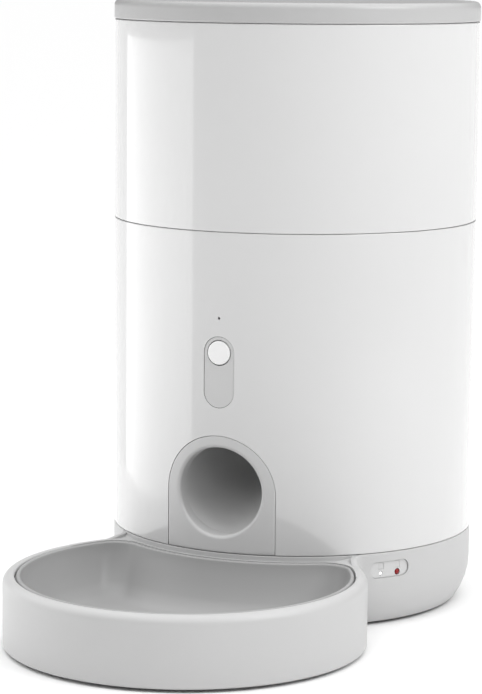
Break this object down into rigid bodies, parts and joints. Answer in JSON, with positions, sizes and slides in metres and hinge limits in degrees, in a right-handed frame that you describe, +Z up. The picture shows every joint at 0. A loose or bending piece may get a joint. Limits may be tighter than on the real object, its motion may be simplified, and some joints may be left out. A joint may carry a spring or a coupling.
{
  "type": "automatic pet feeder",
  "caption": "Round automatic pet feeder: a lidded food hopper over a motor-driven metering rotor, a chute to the front outlet, and a lift-out bowl held by the base.",
  "frame": {"origin": "on the surface it stands on, under the middle of the outline seen from above", "axes": "+Z up; -Y towards the bowl and the food outlet (the front); +X to the right when facing the front"},
  "size_m": [0.2208, 0.3674, 0.364],
  "materials": {
    "white_shell": "gloss moulded ABS",
    "grey_base": "fine satin moulded ABS",
    "grey_lid": "satin moulded ABS",
    "grey_bezel": "satin moulded ABS",
    "grey_panel": "gloss moulded ABS",
    "white_button": "gloss moulded ABS",
    "grey_bowl": "satin moulded polypropylene",
    "grey_chute": "smooth moulded ABS",
    "inner_plastic": "natural moulded ABS",
    "dark_plastic": "moulded nylon",
    "gear_plastic": "natural acetal",
    "steel": "zinc plated",
    "brass": "machined",
    "board": "solder mask",
    "silicone": "soft silicone",
    "foot_rubber": "matt rubber",
    "cell_wrap": "printed foil",
    "window": "diffusing plastic",
    "white_lamp": "lamp lens",
    "red_lamp": "lamp lens"
  },
  "bodies": {
    "root": {"base_tray": "grey_base", "bottom_plate": "grey_base", "battery_bay": "dark_plastic", "batteries": "cell_wrap", "battery_contacts": "steel", "rubber_feet": "foot_rubber", "base_screws": "steel", "indicator_window": "window", "white_led": "white_lamp", "red_led": "red_lamp", "led_board": "board", "power_inlet": "dark_plastic", "lower_shell": "white_shell", "shell_screws": "steel", "outlet_bezel": "grey_bezel", "control_panel": "grey_panel", "button_switch": "dark_plastic", "control_board": "board", "board_screws": "steel", "microphone": "dark_plastic", "speaker": "dark_plastic", "main_board": "board", "chassis": "inner_plastic", "chassis_screws": "steel", "chute": "grey_chute", "level_sensors": "dark_plastic", "gearbox_housing": "inner_plastic", "gearbox_cover": "inner_plastic", "gearbox_screws": "steel", "gear_motor": "steel", "idler_pin": "steel"},
    "hopper": {"hopper_shell": "white_shell", "hopper_funnel": "inner_plastic", "hopper_screws": "steel", "metering_cup": "inner_plastic", "pocket_cover": "inner_plastic"},
    "lid": {"lid": "grey_lid", "lid_liner": "inner_plastic", "lid_seal": "silicone", "desiccant_box": "inner_plastic"},
    "desiccant_cap": {"desiccant_cap": "inner_plastic"},
    "rotor": {"metering_rotor": "silicone", "stirrer": "silicone"},
    "spindle": {"drive_spindle": "steel", "output_gear": "gear_plastic"},
    "idler": {"idler_gear": "gear_plastic"},
    "pinion": {"motor_pinion": "brass"},
    "bowl": {"feeding_bowl": "grey_bowl"},
    "button": {"feed_button": "white_button"},
    "battery_door": {"battery_door": "grey_base"}
  },
  "joints": [
    {"name": "hopper_lift", "type": "slide", "parent": "root", "child": "hopper", "axis": [0, 0, 1], "range_m": [0, 0.07]},
    {"name": "lid_lift", "type": "slide", "parent": "hopper", "child": "lid", "axis": [0, 0, 1], "range_m": [0, 0.04]},
    {"name": "desiccant_twist", "type": "hinge", "parent": "lid", "child": "desiccant_cap", "pos_m": [0, 0.0733, 0.337], "axis": [0, 0, 1], "range_deg": [0, 30]},
    {"name": "rotor_spin", "type": "hinge", "parent": "hopper", "child": "rotor", "pos_m": [0, 0.0733, 0.2], "axis": [0, 0, 1], "continuous": true},
    {"name": "spindle_spin", "type": "hinge", "parent": "root", "child": "spindle", "pos_m": [0, 0.0733, 0.16], "axis": [0, 0, 1], "continuous": true},
    {"name": "idler_spin", "type": "hinge", "parent": "root", "child": "idler", "pos_m": [0, 0.0953, 0.155], "axis": [0, 0, 1], "continuous": true},
    {"name": "pinion_spin", "type": "hinge", "parent": "root", "child": "pinion", "pos_m": [0, 0.1163, 0.15], "axis": [0, 0, 1], "continuous": true},
    {"name": "bowl_lift", "type": "slide", "parent": "root", "child": "bowl", "axis": [0, 0, 1], "range_m": [0, 0.045]},
    {"name": "feed_press", "type": "slide", "parent": "root", "child": "button", "axis": [0, 1, 0], "range_m": [0, 0.0012], "stiffness_N_per_m": 600},
    {"name": "door_drop", "type": "slide", "parent": "root", "child": "battery_door", "axis": [0, 0, -1], "range_m": [0, 0.02]}
  ],
  "couplings": [
    {"joint": "spindle_spin", "follows": "rotor_spin", "ratio": 1},
    {"joint": "idler_spin", "follows": "rotor_spin", "ratio": -2.6667},
    {"joint": "pinion_spin", "follows": "rotor_spin", "ratio": 6.6667}
  ]
}
